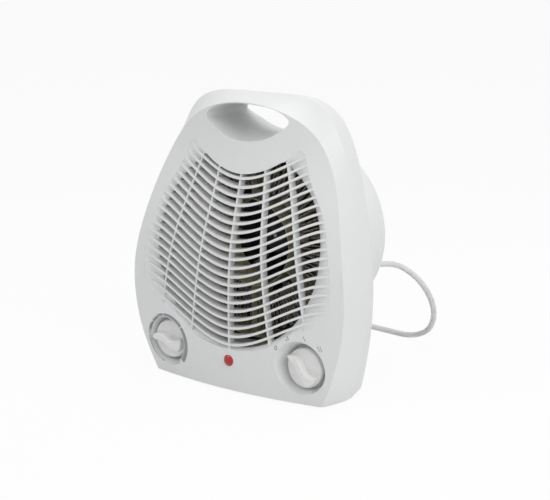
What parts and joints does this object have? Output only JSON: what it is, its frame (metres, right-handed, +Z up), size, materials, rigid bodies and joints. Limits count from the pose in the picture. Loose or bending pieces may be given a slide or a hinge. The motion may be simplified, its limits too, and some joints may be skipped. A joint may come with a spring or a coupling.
{
  "type": "fan heater",
  "caption": "Upright white fan heater with a carrying handle through its top, a large round outlet behind wavy slats, a thermostat knob, a switch knob and a pilot lamp.",
  "frame": {"origin": "on the floor, below the middle of the body (its bounding box without the lead)", "axes": "+Z up, -Y out of the grille towards the user, +X to the right seen from the front"},
  "size_m": [0.2867, 0.2406, 0.2522],
  "materials": {
    "white_plastic": "satin white moulded plastic",
    "knob_plastic": "satin white moulded plastic",
    "red_lens": "translucent red",
    "neon_glass": "clear glass",
    "rubber": "matt",
    "steel": "zinc plated",
    "tinplate": "tinned sheet",
    "mica": "pressed mica sheet",
    "heating_alloy": "bright resistance strip",
    "laminations": "stacked electrical sheet",
    "copper_coil": "enamelled copper in tape",
    "aluminium": "pressed sheet",
    "sintered_bronze": "sintered",
    "phenolic": "matt black moulding",
    "ceramic": "unglazed ceramic",
    "brass": "bright",
    "cord_grey": "light grey sheath"
  },
  "bodies": {
    "heater": {"air_duct": "tinplate", "bearing_bush_front": "sintered_bronze", "bearing_bush_rear": "sintered_bronze", "bimetal_arm": "brass", "casing_screws": "steel", "control_screws": "steel", "cord_relief": "cord_grey", "front_shell": "white_plastic", "heating_wire_front": "heating_alloy", "heating_wire_rear": "heating_alloy", "lead_coil": "cord_grey", "mains_plug": "cord_grey", "mica_inner_ring": "mica", "mica_outer_ring": "mica", "mica_plate_1": "mica", "mica_plate_2": "mica", "mica_plate_3": "mica", "mica_plate_4": "mica", "mica_plate_5": "mica", "mica_plate_6": "mica", "motor_bolts": "steel", "motor_bracket_front": "steel", "motor_bracket_rear": "steel", "motor_coil": "copper_coil", "motor_nuts": "steel", "motor_spacers": "steel", "motor_spider": "steel", "neon_lamp": "neon_glass", "pilot_lens": "red_lens", "plug_pin_left": "brass", "plug_pin_right": "brass", "rear_shell": "white_plastic", "rotary_switch_body": "phenolic", "rubber_foot_1": "rubber", "rubber_foot_2": "rubber", "rubber_foot_3": "rubber", "rubber_foot_4": "rubber", "spider_screws": "steel", "stator_laminations": "laminations", "supply_lead": "cord_grey", "switch_bracket": "steel", "terminal_block": "phenolic", "thermal_cutout": "phenolic", "thermal_fuse": "ceramic", "thermostat_block": "ceramic", "thermostat_bracket": "steel"},
    "thermostat_control": {"thermostat_knob": "knob_plastic", "thermostat_spindle": "steel"},
    "switch_control": {"switch_knob": "knob_plastic", "switch_spindle": "steel"},
    "fan_rotor": {"fan_impeller": "aluminium", "motor_shaft": "steel", "motor_rotor": "laminations"}
  },
  "joints": [
    {"name": "thermostat_turn", "type": "hinge", "parent": "heater", "child": "thermostat_control", "pos_m": [-0.0717, -0.05645, 0.033], "axis": [0, 1, 0], "range_deg": [-60, 240]},
    {"name": "switch_turn", "type": "hinge", "parent": "heater", "child": "switch_control", "pos_m": [0.0717, -0.05645, 0.033], "axis": [0, 1, 0], "range_deg": [0, 120]},
    {"name": "fan_spin", "type": "hinge", "parent": "heater", "child": "fan_rotor", "pos_m": [0, 0.02355, 0.125], "axis": [0, -1, 0], "continuous": true}
  ]
}
